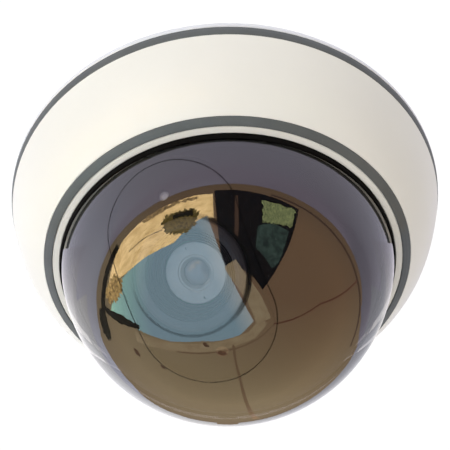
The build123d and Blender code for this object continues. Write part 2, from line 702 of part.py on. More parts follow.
with BuildPart() as lens_carrier:
    with BuildSketch(LENS_SIDE):
        with BuildLine():
            Polyline(*carrier_outline(), close=True)
        make_face()
    revolve(axis=LENS_AXIS)
    with BuildSketch(LENS_FACE.offset(CARRIER_BACK)):
        with PolarLocations(10.2, 2, start_angle=0):
            Circle(1.9)
    extrude(amount=7)
    with BuildSketch(LENS_FACE.offset(CARRIER_BACK)):
        with PolarLocations(10.2, 2, start_angle=0):
            Circle(0.75)
    extrude(amount=4.5, mode=Mode.SUBTRACT)
save(lens_carrier, "lens_carrier")

with BuildPart() as sensor_board:
    with BuildSketch(LENS_FACE.offset(SENSOR_BOARD_BACK)):
        Circle(SENSOR_BOARD_R)
        with PolarLocations(10.2, 2, start_angle=0):
            Circle(1.0, mode=Mode.SUBTRACT)
    extrude(amount=CARRIER_BACK - 0.02 - SENSOR_BOARD_BACK)
save(sensor_board, "sensor_board")

back_spots = []
for sign in (1, -1):
    seat = CENTRE + aim(LENS_ANGLE) * (SENSOR_BOARD_BACK - 0.02) + TILT_DIR * (10.2 * sign)
    back_spots.append(Plane(origin=seat, x_dir=TILT_DIR, z_dir=aim(LENS_ANGLE) * -1))
sensor_board_screws = headed_screws(back_spots, 1.6, 0.95, 0.7, 5.6, 0.95)
save(sensor_board_screws, "sensor_board_screws")

with BuildPart() as sensor_socket:
    with BuildSketch(Plane(origin=CENTRE, x_dir=TILT_DIR, z_dir=aim(LENS_ANGLE) * -1).offset(
            -SENSOR_BOARD_BACK + 0.02)):
        Rectangle(9, 3.4)
    extrude(amount=1.8)
    with BuildSketch(Plane(origin=CENTRE, x_dir=TILT_DIR, z_dir=aim(LENS_ANGLE) * -1).offset(
            -SENSOR_BOARD_BACK + 1.82)):
        Rectangle(7.6, 2.0)
    extrude(amount=-1.3, mode=Mode.SUBTRACT)
save(sensor_socket, "sensor_socket")

with BuildPart() as image_sensor:
    with BuildSketch(LENS_FACE.offset(CARRIER_BACK)):
        Rectangle(7.2, 6.4)
    extrude(amount=0.8)
    with BuildSketch(LENS_FACE.offset(CARRIER_BACK + 0.8)):
        Rectangle(5.6, 4.4)
    extrude(amount=-0.1, mode=Mode.SUBTRACT)
save(image_sensor, "image_sensor")

with BuildPart() as lens_holder:
    with BuildSketch(LENS_FACE.offset(CARRIER_BACK)):
        RectangleRounded(14.4, 14.4, 1.5)
    extrude(amount=3.0)
    with BuildSketch(LENS_FACE.offset(CARRIER_BACK)):
        Circle(7.55)
    extrude(amount=8.2)
    with BuildSketch(LENS_FACE.offset(CARRIER_BACK)):
        RectangleRounded(9.6, 9.6, 0.8)
    extrude(amount=1.7, mode=Mode.SUBTRACT)
    with BuildSketch(LENS_FACE.offset(CARRIER_BACK)):
        Circle(THREAD_R + 0.05)
    extrude(amount=9, mode=Mode.SUBTRACT)
    with BuildSketch(Plane(
            origin=CENTRE + aim(LENS_ANGLE) * 26.8, x_dir=aim(LENS_ANGLE), z_dir=TILT_DIR)):
        Circle(0.82)
    extrude(amount=9, mode=Mode.SUBTRACT)
save(lens_holder, "lens_holder")

with BuildPart() as infrared_filter:
    with BuildSketch(LENS_FACE.offset(CARRIER_BACK + 1.1)):
        RectangleRounded(9.4, 9.4, 0.7)
    extrude(amount=0.5)
save(infrared_filter, "infrared_filter")

lock_plane = Plane(origin=CENTRE + aim(LENS_ANGLE) * 26.8, x_dir=aim(LENS_ANGLE), z_dir=TILT_DIR)
with BuildPart() as focus_lock_screw:
    with BuildSketch(lock_plane.offset(THREAD_R + 0.12)):
        Circle(0.78)
    extrude(amount=2.0)
    with BuildSketch(lock_plane.offset(THREAD_R + 2.12)):
        RegularPolygon(0.42, 6)
    extrude(amount=-0.9, mode=Mode.SUBTRACT)
save(focus_lock_screw, "focus_lock_screw")

# ---------------------------------------------------------------- lens
with BuildPart() as lens_barrel:
    groove_points = []
    for turn in range(12):
        level = 23.1 + turn * 0.5
        groove_points += [(THREAD_R, level), (THREAD_R, level + 0.2), (THREAD_R - 0.2, level + 0.35)]
    with BuildSketch(LENS_SIDE):
        with BuildLine():
            Polyline(
                (2.6, 22.9), (5.5, 22.9), *groove_points, (5.6, 29.5), (7.05, 29.5),
                (BARREL_HEAD_R, 29.8), (BARREL_HEAD_R, 31.8), (7.4, BARREL_FRONT),
                (4.5, BARREL_FRONT), (4.3, 31.8), (3.9, 31.8), (3.2, 31.05), (3.2, 29.9), (4.6, 29.9),
                (4.6, 23.6), (2.6, 23.6), close=True,
            )
        make_face()
    revolve(axis=LENS_AXIS)
    # two small spanner holes in the face
    with BuildSketch(LENS_FACE.offset(BARREL_FRONT)):
        with PolarLocations(6.3, 2, start_angle=90):
            Circle(0.3)
    extrude(amount=-0.5, mode=Mode.SUBTRACT)
save(lens_barrel, "lens_barrel")

with BuildPart() as front_lens:
    with BuildSketch(LENS_SIDE):
        with BuildLine():
            Polyline((0, 29.2), (4.55, 29.2), (4.55, 29.86), (3.14, 29.86), (3.14, 30.5))
            cap(3.14, 30.5, 31.4)
            Line((0, 31.4), (0, 29.2))
        make_face()
    revolve(axis=LENS_AXIS)
save(front_lens, "front_lens")

lens_spacer = turned(
    [(1.6, 26.6), (4.55, 26.6), (4.55, 29.16), (3.2, 29.16), (1.6, 27.4)], LENS_SIDE, LENS_AXIS
)
save(lens_spacer, "lens_spacer")

with BuildPart() as rear_lens:
    with BuildSketch(LENS_SIDE):
        with BuildLine():
            Polyline((0, 23.66), (4.1, 23.66), (4.55, 23.9), (4.55, 26.56), (3.0, 26.56))
            cap(3.0, 26.56, 26.05)
            Line((0, 26.05), (0, 23.66))
        make_face()
    revolve(axis=LENS_AXIS)
save(rear_lens, "rear_lens")
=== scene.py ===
import json
import math

import bpy
from mathutils import Matrix, Vector


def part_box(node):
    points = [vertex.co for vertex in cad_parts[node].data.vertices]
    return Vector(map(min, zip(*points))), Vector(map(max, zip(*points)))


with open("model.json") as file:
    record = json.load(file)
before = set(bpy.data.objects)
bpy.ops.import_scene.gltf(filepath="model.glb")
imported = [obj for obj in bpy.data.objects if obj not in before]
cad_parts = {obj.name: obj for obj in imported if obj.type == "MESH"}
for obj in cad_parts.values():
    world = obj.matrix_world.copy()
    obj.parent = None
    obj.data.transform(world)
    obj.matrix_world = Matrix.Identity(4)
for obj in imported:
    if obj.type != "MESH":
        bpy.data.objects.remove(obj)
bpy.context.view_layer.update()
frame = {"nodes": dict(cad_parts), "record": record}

NODES = frame["nodes"]

JOINTS = {joint["name"]: joint for joint in frame["record"]["behaviour"]["joints"]}
TILT_POINT = Vector(JOINTS["tilt"]["pos_m"])
ACROSS = -Vector(JOINTS["tilt"]["axis"])
LENS_DIRECTION = Vector(JOINTS["lens_rotation"]["axis"])

# the two painted shade lines in the dome's mirror coat, where the shaded edge of the liner's slot and the
# shadow gap round the lens show through, in metres and in degrees from straight down
SLOT_HALF_WIDTH = 0.0164
SLOT_ASIDE = 0.0011
SLOT_LOW_END = 22.2
SLOT_HIGH_END = 54.8
LENS_RING_RADIUS = 0.01396
LENS_RING_LEAN = 0.036
LENS_RING_SHADE_FADES_FROM = 38.2

# the studio, in metres: the point that directions are taken from, how far off each layer of cards stands
HEART = Vector((0.0, 0.0, -0.020))
WALL = 2.2
THROUGH_DOOR = 1.95
SKIRTING = 1.9
LINES = 1.85
LEAVES = 1.8
NEAR = 1.7
# heights of the ceiling, of the glow round the dome and of the floor
CEILING = 0.001
HAZE = -0.0275
FLOOR = -1.2


# ------------------------------------------------------------------ node helpers
def new_material(name):
    material = bpy.data.materials.new(name)
    material.use_nodes = True
    tree = material.node_tree
    tree.nodes.clear()
    out = tree.nodes.new("ShaderNodeOutputMaterial")
    return material, tree, out


def node(tree, kind):
    return tree.nodes.new(kind)


def noise(tree, size_mm, detail=3.0, rough=0.5, stretch=None):
    """Noise over the object's own coordinates, its blobs about size_mm across."""
    where = node(tree, "ShaderNodeTexCoord")
    source = where.outputs["Object"]
    if stretch:
        mapping = node(tree, "ShaderNodeMapping")
        mapping.inputs["Scale"].default_value = stretch
        tree.links.new(source, mapping.inputs["Vector"])
        source = mapping.outputs["Vector"]
    made = node(tree, "ShaderNodeTexNoise")
    made.inputs["Scale"].default_value = 1000.0 / size_mm
    made.inputs["Detail"].default_value = detail
    made.inputs["Roughness"].default_value = rough
    tree.links.new(source, made.inputs["Vector"])
    return made.outputs["Fac"]


def spread(tree, source, low, high, start=0.3, end=0.7):
    """Goes from low to high while the source goes from start to end, and stays level beyond."""
    made = node(tree, "ShaderNodeMapRange")
    made.inputs["From Min"].default_value = start
    made.inputs["From Max"].default_value = end
    made.inputs["To Min"].default_value = low
    made.inputs["To Max"].default_value = high
    tree.links.new(source, made.inputs["Value"])
    return made.outputs["Result"]


def blend(tree, factor, first, second):
    made = node(tree, "ShaderNodeMix")
    made.data_type = "RGBA"
    for socket, value in ((made.inputs[6], first), (made.inputs[7], second)):
        if isinstance(value, tuple):
            socket.default_value = (*value[:3], 1.0)
        else:
            tree.links.new(value, socket)
    tree.links.new(factor, made.inputs[0])
    return made.outputs[2]


def bump(tree, height, distance_mm):
    """Surface normal with relief distance_mm deep."""
    made = node(tree, "ShaderNodeBump")
    made.inputs["Distance"].default_value = distance_mm / 1000.0
    tree.links.new(height, made.inputs["Height"])
    return made.outputs["Normal"]


def sums(tree, operation, first, second=0.0):
    """One maths node; each input is a number or the output of another node."""
    made = node(tree, "ShaderNodeMath")
    made.operation = operation
    for socket, value in zip(made.inputs, (first, second)):
        if isinstance(value, (int, float)):
            socket.default_value = value
        else:
            tree.links.new(value, socket)
    return made.outputs[0]


def length(tree, first, second):
    """Length of the long side of a right triangle."""
    squares = sums(tree, "ADD", sums(tree, "POWER", first, 2.0), sums(tree, "POWER", second, 2.0))
    return sums(tree, "SQRT", squares)


def along(tree, source, direction):
    """How far a point lies along a direction."""
    made = node(tree, "ShaderNodeVectorMath")
    made.operation = "DOT_PRODUCT"
    tree.links.new(source, made.inputs[0])
    made.inputs[1].default_value = tuple(direction)
    return made.outputs["Value"]


def scaled(color, factor):
    """The colour made darker or lighter."""
    return tuple(min(1.0, max(0.0, part * factor)) for part in color[:3])


def surface(name, color, rough, metal=0.0, coat=0.0, grain_mm=0.35, grain_depth=0.006, vary=0.05,
            vary_mm=14.0, rough_vary=0.08, sheen_dust=0.0, specular=0.5):
    """General finish: colour drift, uneven gloss, fine grain, and a little settled dust."""
    material, tree, out = new_material(name)
    shader = node(tree, "ShaderNodeBsdfPrincipled")
    shader.inputs["Metallic"].default_value = metal
    shader.inputs["Coat Weight"].default_value = coat
    shader.inputs["Coat Roughness"].default_value = 0.07
    shader.inputs["Specular IOR Level"].default_value = specular
    drift = noise(tree, vary_mm, 4.0, 0.6)
    tint = blend(tree, spread(tree, drift, 0.0, 1.0), scaled(color, 1 - vary), scaled(color, 1 + vary))
    if sheen_dust > 0:
        specks = noise(tree, 0.9, 2.0, 0.7)
        tint = blend(tree, spread(tree, specks, 0.0, sheen_dust, 0.62, 0.8), tint, (0.62, 0.6, 0.56))
    tree.links.new(tint, shader.inputs["Base Color"])
    smear = noise(tree, vary_mm * 0.45, 5.0, 0.65)
    tree.links.new(spread(tree, smear, rough - rough_vary, rough + rough_vary), shader.inputs["Roughness"])
    grain = noise(tree, grain_mm, 3.0, 0.6)
    tree.links.new(bump(tree, grain, grain_depth), shader.inputs["Normal"])
    tree.links.new(shader.outputs[0], out.inputs["Surface"])
    return material


# ------------------------------------------------------------------ finishes
def ring_brush(name, color, rough):
    """Rolled or spun metal: long fine lines in the surface, with cloudy gloss."""
    material, tree, out = new_material(name)
    shader = node(tree, "ShaderNodeBsdfPrincipled")
    shader.inputs["Metallic"].default_value = 1.0
    lines = noise(tree, 0.25, 4.0, 0.7, (0.06, 1.0, 1.0))
    clouds = noise(tree, 6.0, 4.0, 0.6)
    tint = blend(tree, spread(tree, clouds, 0.0, 1.0), scaled(color, 0.86), scaled(color, 1.08))
    tree.links.new(tint, shader.inputs["Base Color"])
    tree.links.new(spread(tree, lines, rough - 0.1, rough + 0.12), shader.inputs["Roughness"])
    tree.links.new(bump(tree, lines, 0.004), shader.inputs["Normal"])
    tree.links.new(shader.outputs[0], out.inputs["Surface"])
    return material


def solder_mask(name):
    """Green board: copper runs under the mask, drill pads and woven glass that just shows."""
    material, tree, out = new_material(name)
    shader = node(tree, "ShaderNodeBsdfPrincipled")
    shader.inputs["Coat Weight"].default_value = 0.4
    shader.inputs["Coat Roughness"].default_value = 0.12
    where = node(tree, "ShaderNodeTexCoord")
    runs = node(tree, "ShaderNodeTexBrick")
    runs.inputs["Scale"].default_value = 520.0
    runs.inputs["Mortar Size"].default_value = 0.09
    runs.inputs["Color1"].default_value = (0.018, 0.14, 0.06, 1)
    runs.inputs["Color2"].default_value = (0.022, 0.17, 0.075, 1)
    runs.inputs["Mortar"].default_value = (0.05, 0.30, 0.13, 1)
    tree.links.new(where.outputs["Object"], runs.inputs["Vector"])
    pads = node(tree, "ShaderNodeTexVoronoi")
    pads.inputs["Scale"].default_value = 380.0
    tree.links.new(where.outputs["Object"], pads.inputs["Vector"])
    pad = spread(tree, pads.outputs["Distance"], 1.0, 0.0, 0.12, 0.15)
    weave = noise(tree, 0.5, 2.0, 0.5, (1.0, 0.3, 1.0))
    tint = blend(tree, spread(tree, weave, 0.0, 0.25), runs.outputs["Color"], (0.01, 0.09, 0.045))
    tint = blend(tree, pad, tint, (0.55, 0.5, 0.36))
    tree.links.new(tint, shader.inputs["Base Color"])
    tree.links.new(spread(tree, weave, 0.28, 0.42), shader.inputs["Roughness"])
    tree.links.new(bump(tree, runs.outputs["Fac"], 0.02), shader.inputs["Normal"])
    tree.links.new(shader.outputs[0], out.inputs["Surface"])
    return material


def coat_with_painted_shade_lines(tree, dome):
    """Where the dome is coated, and the same less two painted shade lines.

    Both lines are painted shade: one follows the shaded edge of the slot in the liner, the other is the
    shadow gap that rings the lens.
    """
    home = dome.matrix_world.inverted()
    turn = home.to_3x3()
    radius = TILT_POINT.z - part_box(dome.name)[0][2]
    where = node(tree, "ShaderNodeTexCoord")
    offset = node(tree, "ShaderNodeVectorMath")
    offset.operation = "SUBTRACT"
    tree.links.new(where.outputs["Object"], offset.inputs[0])
    offset.inputs[1].default_value = tuple(home @ TILT_POINT)
    spot = offset.outputs["Vector"]
    sideways = along(tree, spot, turn @ ACROSS)
    outward = along(tree, spot, turn @ ACROSS.cross(Vector((0, 0, 1))))
    downward = along(tree, spot, turn @ Vector((0, 0, -1)))
    # slot: run round the dome, measured as an arc length from straight down
    run = sums(tree, "MULTIPLY", sums(tree, "ARCTAN2", outward, downward), radius)
    from_low_end = sums(tree, "MAXIMUM", run, radius * math.radians(SLOT_LOW_END))
    on_slot = sums(tree, "MINIMUM", from_low_end, radius * math.radians(SLOT_HIGH_END))
    reach = length(tree, sums(tree, "SUBTRACT", run, on_slot), sums(tree, "SUBTRACT", sideways, SLOT_ASIDE))
    # the slot line is painted shade along the edge of the liner's slot, seen through the dome
    slot_gap = sums(tree, "ABSOLUTE", sums(tree, "SUBTRACT", reach, SLOT_HALF_WIDTH))
    slot_shade_line = spread(tree, slot_gap, 0.72, 0.0, 0.00006, 0.00024)
    # lens ring: painted shade of the gap round the lens, a circle about a line a little to one side of the
    # lens, painted wider and darker to the right, where the rim is unlit
    depth = along(tree, spot, turn @ (LENS_DIRECTION + ACROSS * LENS_RING_LEAN).normalized())
    ring_r = sums(tree, "SQRT", sums(tree, "SUBTRACT", radius**2, sums(tree, "POWER", depth, 2.0)))
    ring_gap = sums(tree, "ABSOLUTE", sums(tree, "SUBTRACT", ring_r, LENS_RING_RADIUS))
    rightward = spread(tree, sideways, 0.0, 1.0, 0.006, 0.014)
    fine_ring = spread(tree, ring_gap, 0.42, 0.0, 0.00015, 0.00050)
    wide_ring = spread(tree, ring_gap, 0.95, 0.0, 0.00045, 0.00080)
    fine_part = sums(tree, "MULTIPLY", fine_ring, sums(tree, "SUBTRACT", 1.0, rightward))
    ring_shade_line = sums(tree, "ADD", fine_part, sums(tree, "MULTIPLY", wide_ring, rightward))
    # the painted ring shade fades out on its upper side
    above = sums(tree, "SUBTRACT", run, radius * math.radians(LENS_RING_SHADE_FADES_FROM))
    left_of = sums(tree, "MULTIPLY", sums(tree, "SUBTRACT", sideways, 0.0016), -0.5)
    past_fade_start = sums(tree, "ADD", sums(tree, "MULTIPLY", above, 0.85), left_of)
    ring_shade_fade = spread(tree, past_fade_start, 1.0, 0.08, 0.0045, 0.009)
    ring_shade_line = sums(tree, "MULTIPLY", ring_shade_line, ring_shade_fade)
    # the coat starts just past the seal's lip
    lip = TILT_POINT.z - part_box("dome_seal")[0][2]
    coated = spread(tree, downward, 0.0, 1.0, lip, lip + 0.0005)
    marked = sums(tree, "SUBTRACT", 1.0, sums(tree, "MAXIMUM", slot_shade_line, ring_shade_line))
    return coated, sums(tree, "MULTIPLY", coated, marked)


def half_mirror(name, dome):
    """Smoke-tinted wall with a thin bronze mirror coat, which reflects and also shows what is inside."""
    material, tree, out = new_material(name)
    smudge = noise(tree, 9.0, 5.0, 0.6)
    dust = noise(tree, 0.45, 2.0, 0.7)
    coat_drift = noise(tree, 30.0, 2.0, 0.5)
    clear = node(tree, "ShaderNodeBsdfTransparent")
    smoke = blend(tree, spread(tree, coat_drift, 0.0, 1.0), (0.70, 0.69, 0.70), (0.74, 0.73, 0.74))
    coated, coat = coat_with_painted_shade_lines(tree, dome)
    # the edge clamped under the seal is blacked out, and the black that shows a little past the lip is
    # painted shade of the gap between the lip and the dome
    smoke = blend(tree, sums(tree, "SUBTRACT", 1.0, coated), smoke, (0.02, 0.02, 0.02))
    tree.links.new(smoke, clear.inputs["Color"])
    mirror = node(tree, "ShaderNodeBsdfGlossy")
    metal_tint = blend(tree, spread(tree, coat_drift, 0.0, 1.0), (0.98, 0.94, 0.90), (0.96, 0.95, 0.95))
    tree.links.new(metal_tint, mirror.inputs["Color"])
    tree.links.new(spread(tree, smudge, 0.02, 0.05, 0.45, 0.8), mirror.inputs["Roughness"])
    edge = node(tree, "ShaderNodeFresnel")
    edge.inputs["IOR"].default_value = 1.5
    share = sums(tree, "MINIMUM", sums(tree, "ADD", edge.outputs["Fac"], 0.055), 1.0)
    share = sums(tree, "MULTIPLY", share, coat)
    # the mirror coat is on the outside only, so light leaving the wall passes straight on
    side = node(tree, "ShaderNodeNewGeometry")
    once = sums(tree, "MULTIPLY", share, sums(tree, "SUBTRACT", 1.0, side.outputs["Backfacing"]))
    glass = node(tree, "ShaderNodeMixShader")
    tree.links.new(once, glass.inputs["Fac"])
    tree.links.new(clear.outputs[0], glass.inputs[1])
    tree.links.new(mirror.outputs[0], glass.inputs[2])
    film = node(tree, "ShaderNodeBsdfDiffuse")
    film.inputs["Color"].default_value = (0.55, 0.52, 0.55, 1)
    finish = node(tree, "ShaderNodeMixShader")
    tree.links.new(spread(tree, dust, 0.0, 0.02, 0.6, 0.85), finish.inputs["Fac"])
    tree.links.new(glass.outputs[0], finish.inputs[1])
    tree.links.new(film.outputs[0], finish.inputs[2])
    tree.links.new(finish.outputs[0], out.inputs["Surface"])
    return material


def coated_glass(name, body, flash, rim=0.35):
    """Lens glass: dark body with a coloured anti-reflection flash, a painted reflection in the base colour
    that shifts towards the edge with the view angle.
    """
    material, tree, out = new_material(name)
    shader = node(tree, "ShaderNodeBsdfPrincipled")
    shader.inputs["Coat Weight"].default_value = 1.0
    shader.inputs["Coat Roughness"].default_value = 0.02
    facing = node(tree, "ShaderNodeLayerWeight")
    facing.inputs["Blend"].default_value = rim
    tint = blend(tree, facing.outputs["Facing"], body, flash)
    haze = noise(tree, 1.2, 3.0, 0.6)
    tint = blend(tree, spread(tree, haze, 0.0, 0.12), tint, (0.5, 0.52, 0.55))
    tree.links.new(tint, shader.inputs["Base Color"])
    tree.links.new(spread(tree, haze, 0.03, 0.08), shader.inputs["Roughness"])
    tree.links.new(shader.outputs[0], out.inputs["Surface"])
    return material


FINISHES = {
    "cover_plastic": surface("cream_cover", (0.86, 0.848, 0.80), 0.42, coat=0.06, grain_mm=0.5,
                             grain_depth=0.004, vary=0.012, vary_mm=28, rough_vary=0.05, sheen_dust=0.02,
                             specular=0.25),
    "base_plastic": surface("cool_white_plate", (0.74, 0.755, 0.80), 0.36, coat=0.2, grain_mm=0.5,
                            grain_depth=0.005, vary=0.02, vary_mm=22, rough_vary=0.06),
    "trim_rubber": surface("grey_trim", (0.098, 0.108, 0.112), 0.55, grain_mm=0.22, grain_depth=0.01,
                           vary=0.09, vary_mm=9, sheen_dust=0.05, specular=0.35),
    "seal_rubber": surface("black_seal", (0.004, 0.0038, 0.0038), 0.75, grain_mm=0.2, grain_depth=0.012,
                           vary=0.2, vary_mm=5, sheen_dust=0.0, specular=0.03),
    "foam": surface("closed_foam", (0.05, 0.05, 0.052), 0.9, grain_mm=0.55, grain_depth=0.12,
                    vary=0.35, vary_mm=0.8, rough_vary=0.05, specular=0.15),
    "dome_plastic": half_mirror("half_mirror_dome", NODES["dome_bubble"]),
    "liner_plastic": surface("matte_liner", (0.006, 0.006, 0.0065), 0.62, grain_mm=0.3,
                             grain_depth=0.02, vary=0.12, vary_mm=8, specular=0.2),
    "hood_plastic": surface("satin_hood", (0.060, 0.060, 0.072), 0.45, grain_mm=0.25,
                            grain_depth=0.008, vary=0.1, vary_mm=4, specular=0.4),
    "frame_plastic": surface("grey_frame", (0.075, 0.076, 0.08), 0.5, grain_mm=0.35,
                             grain_depth=0.012, vary=0.1, vary_mm=10),
    "spring_steel": ring_brush("spring_strip", (0.58, 0.56, 0.53), 0.32),
    "screw_steel": ring_brush("plated_screw", (0.66, 0.67, 0.69), 0.26),
    "sheet_steel": ring_brush("zinc_sheet", (0.55, 0.57, 0.59), 0.38),
    "circuit_board": solder_mask("green_board"),
    "chip_plastic": surface("moulded_chip", (0.018, 0.018, 0.02), 0.55, grain_mm=0.12,
                            grain_depth=0.012, vary=0.15, vary_mm=3),
    "socket_plastic": surface("ivory_socket", (0.62, 0.58, 0.47), 0.42, grain_mm=0.3,
                              grain_depth=0.006, vary=0.05, vary_mm=4),
    "terminal_plastic": surface("green_terminal", (0.02, 0.16, 0.07), 0.4, grain_mm=0.3,
                                grain_depth=0.006, vary=0.08, vary_mm=4),
    "can_aluminium": ring_brush("drawn_can", (0.72, 0.73, 0.75), 0.3),
    "sensor_glass": coated_glass("sensor_cover", (0.02, 0.03, 0.05), (0.10, 0.22, 0.25)),
    "filter_glass": coated_glass("cyan_filter", (0.10, 0.30, 0.34), (0.45, 0.25, 0.35)),
    "lens_glass": coated_glass("coated_lens", (0.24, 0.26, 0.32), (0.62, 0.66, 0.74)),
    # the epoxy's white core is a painted highlight, fading to a dark rim with the view angle
    "led_epoxy": coated_glass("epoxy_with_painted_highlight", (1.0, 1.0, 1.0), (0.04, 0.04, 0.045), rim=0.86),
    "photocell": surface("resin_window", (0.10, 0.045, 0.022), 0.35, coat=0.3, grain_mm=0.4,
                         grain_depth=0.01, vary=0.2, vary_mm=0.7),
    "barrel_metal": surface("silvered_barrel", (0.42, 0.45, 0.47), 0.42, metal=0.25, grain_mm=0.15,
                            grain_depth=0.006, vary=0.06, vary_mm=3),
    "washer_plastic": surface("natural_washer", (0.66, 0.66, 0.62), 0.4, grain_mm=0.3,
                              grain_depth=0.006, vary=0.04, vary_mm=3),
}

SLOT_OF = {part["node"]: part["material_slot"] for part in frame["record"]["subparts"]}
for name, piece in NODES.items():
    piece.data.materials.clear()
    piece.data.materials.append(FINISHES[SLOT_OF[name]])


# ------------------------------------------------------------------ studio
def emitter(name, color, second=None, drift=0.0, spot=0.5, squeeze=(1, 1, 1), fades=()):
    """Even glow, or cloudy with a second colour; each fade is (direction, from, to, colour)."""
    material, tree, out = new_material(name)
    light = node(tree, "ShaderNodeEmission")
    light.inputs["Color"].default_value = (*color, 1.0)
    glow = color
    if second:
        clouds = noise(tree, spot * 1000.0, 3.0, 0.55, squeeze)
        glow = blend(tree, spread(tree, clouds, 0.0, drift), color, second)
    for direction, start, end, tint in fades:
        where = node(tree, "ShaderNodeTexCoord")
        level = along(tree, where.outputs["Object"], direction)
        glow = blend(tree, spread(tree, level, 0.0, 1.0, start, end), glow, tint)
    if not isinstance(glow, tuple):
        tree.links.new(glow, light.inputs["Color"])
    tree.links.new(light.outputs[0], out.inputs["Surface"])
    return material


def studio_mesh(name, corners, faces, material):
    mesh = bpy.data.meshes.new(name)
    mesh.from_pydata([tuple(corner) for corner in corners], [], faces)
    mesh.materials.append(material)
    made = bpy.data.objects.new(name, mesh)
    bpy.context.scene.collection.objects.link(made)
    return made


def reflected_only(made):
    made.visible_camera = False
    made.visible_diffuse = False
    made.visible_shadow = False
    made.visible_transmission = False
    return made


def card(name, corners, material):
    """A flat studio card that only shows in reflections."""
    return reflected_only(studio_mesh(name, corners, [list(range(len(corners)))], material))


def ladder(count):
    """Faces of a band whose two edges have count points each."""
    return [(step, step + 1, count + step + 1, count + step) for step in range(count - 1)]


def arc_card(name, inner, outer, start, end, height, material):
    """Part of a flat ring round the dome's own axis."""
    turns = [math.radians(start + (end - start) * step / 24) for step in range(25)]
    edges = [(size * math.cos(turn), size * math.sin(turn), height)
             for size in (inner, outer) for turn in turns]
    return reflected_only(studio_mesh(name, edges, ladder(len(turns)), material))


def ray(azimuth, elevation):
    """Direction in degrees: azimuth from +X towards +Y, elevation up from level."""
    a = math.radians(azimuth)
    e = math.radians(elevation)
    return Vector((math.cos(a) * math.cos(e), math.sin(a) * math.cos(e), math.sin(e)))


def aimed_card(name, facing, distance, rays, material):
    """Card on the plane square to facing, its corners where the given rays meet that plane."""
    normal = ray(*facing)
    corners = [HEART + ray(*one) * (distance / ray(*one).dot(normal)) for one in rays]
    return card(name, corners, material)


def ragged(rays, amount, steps=9):
    """The same outline with more corners, each pushed in or out a little, like leaves or cloth."""
    made = []
    for index, start in enumerate(rays):
        end = rays[(index + 1) % len(rays)]
        run = (end[0] - start[0], end[1] - start[1])
        size = max(0.001, math.hypot(*run))
        for step in range(steps):
            share = step / steps
            phase = index * 2.3 + share * 6.0
            push = amount * (math.sin(phase * 2.7) + 0.7 * math.sin(phase * 6.1 + 1.0)) / 1.7
            made.append((start[0] + run[0] * share - run[1] / size * push,
                         start[1] + run[1] * share + run[0] / size * push))
    return made


def strip(name, rays, width, distance, material):
    """Narrow band of small quads along a run of directions, like a skirting board or a seam."""
    left = []
    right = []
    spots = [ray(*one) for one in rays]
    for index, spot in enumerate(spots):
        ahead = spots[min(index + 1, len(spots) - 1)] - spots[max(index - 1, 0)]
        across = spot.cross(ahead).normalized() * math.radians(width) / 2
        left.append(HEART + (spot + across) * distance)
        right.append(HEART + (spot - across) * distance)
    return reflected_only(studio_mesh(name, left + right, ladder(len(spots)), material))


# ------------------------------------------------------------------ what the dome reflects
def ceiling_light():
    """Pale ceiling: brighter on the window side, purple to the front, even close to the camera."""
    material, tree, out = new_material("ceiling_glow")
    where = node(tree, "ShaderNodeTexCoord")
    split = node(tree, "ShaderNodeSeparateXYZ")
    tree.links.new(where.outputs["Object"], split.inputs[0])
    side = spread(tree, split.outputs["X"], 1.0, 0.0, -0.30, 0.30)
    tint = blend(tree, side, (0.66, 0.62, 0.77), (1.36, 1.40, 1.66))
    front = spread(tree, split.outputs["Y"], 0.75, 0.0, -0.25, -0.02)
    tint = blend(tree, front, tint, (1.00, 0.86, 1.10))
    far = node(tree, "ShaderNodeVectorMath")
    far.operation = "DISTANCE"
    tree.links.new(where.outputs["Object"], far.inputs[0])
    far.inputs[1].default_value = (-0.02, 0.15, 0.0)
    near = spread(tree, far.outputs["Value"], 1.0, 0.0, 0.05, 0.14)
    tint = blend(tree, near, tint, (1.22, 1.22, 1.26))
    light = node(tree, "ShaderNodeEmission")
    tree.links.new(tint, light.inputs["Color"])
    tree.links.new(light.outputs[0], out.inputs["Surface"])
    return material


# the ceiling that the camera hangs from, which ends at the wall behind
CEILING_OUTLINE = [(-3, -3), (3, -3), (3, 1.6), (0.45, 0.36), (0.21, 0.21), (0.11, 0.185), (0.0, 0.175),
                   (-0.10, 0.245), (-0.22, 0.40), (-0.45, 0.55), (-0.62, 0.50), (-1.0, 0.75), (-3, 1.4)]
card("ceiling_card", [(x, y, CEILING) for x, y in CEILING_OUTLINE], ceiling_light())

# glow beside the dome: white haze on the window side, greyer on the other
LEFT_TO_BACK = ((1, 0, 0), -0.060, -0.005, (1.22, 1.22, 1.26))
LEFT_TO_FRONT = ((0, -1, 0), -0.018, 0.010, (1.05, 1.05, 1.24))
RIGHT_TO_BACK = ((-1, 0, 0), -0.060, -0.005, (1.18, 1.18, 1.24))
RIGHT_TO_FRONT = ((0, -1, 0), -0.020, 0.010, (0.84, 0.82, 0.98))
for side, inner, outer, start, end, tint, fades in (
        ("left_near", 0.0442, 0.052, 93, 194, (1.62, 1.63, 1.68), (LEFT_TO_BACK, LEFT_TO_FRONT)),
        ("left_mid", 0.052, 0.060, 93, 194, (1.66, 1.66, 1.74), (LEFT_TO_BACK, LEFT_TO_FRONT)),
        ("left_far", 0.060, 0.068, 93, 194, (1.40, 1.41, 1.49), (LEFT_TO_BACK, LEFT_TO_FRONT)),
        ("left_low", 0.068, 0.130, 93, 166, (1.45, 1.47, 1.55), (LEFT_TO_BACK,)),
        ("right_near", 0.0442, 0.056, -14, 87, (0.98, 1.00, 1.05), (RIGHT_TO_BACK, RIGHT_TO_FRONT)),
        ("right_far", 0.056, 0.068, -14, 87, (0.78, 0.82, 0.92), (RIGHT_TO_BACK, RIGHT_TO_FRONT)),
        ("right_low", 0.068, 0.130, 12, 87, (0.80, 0.82, 0.93), (RIGHT_TO_BACK,))):
    arc_card("haze_" + side, inner, outer, start, end, HAZE, emitter("haze_" + side, tint, fades=fades))

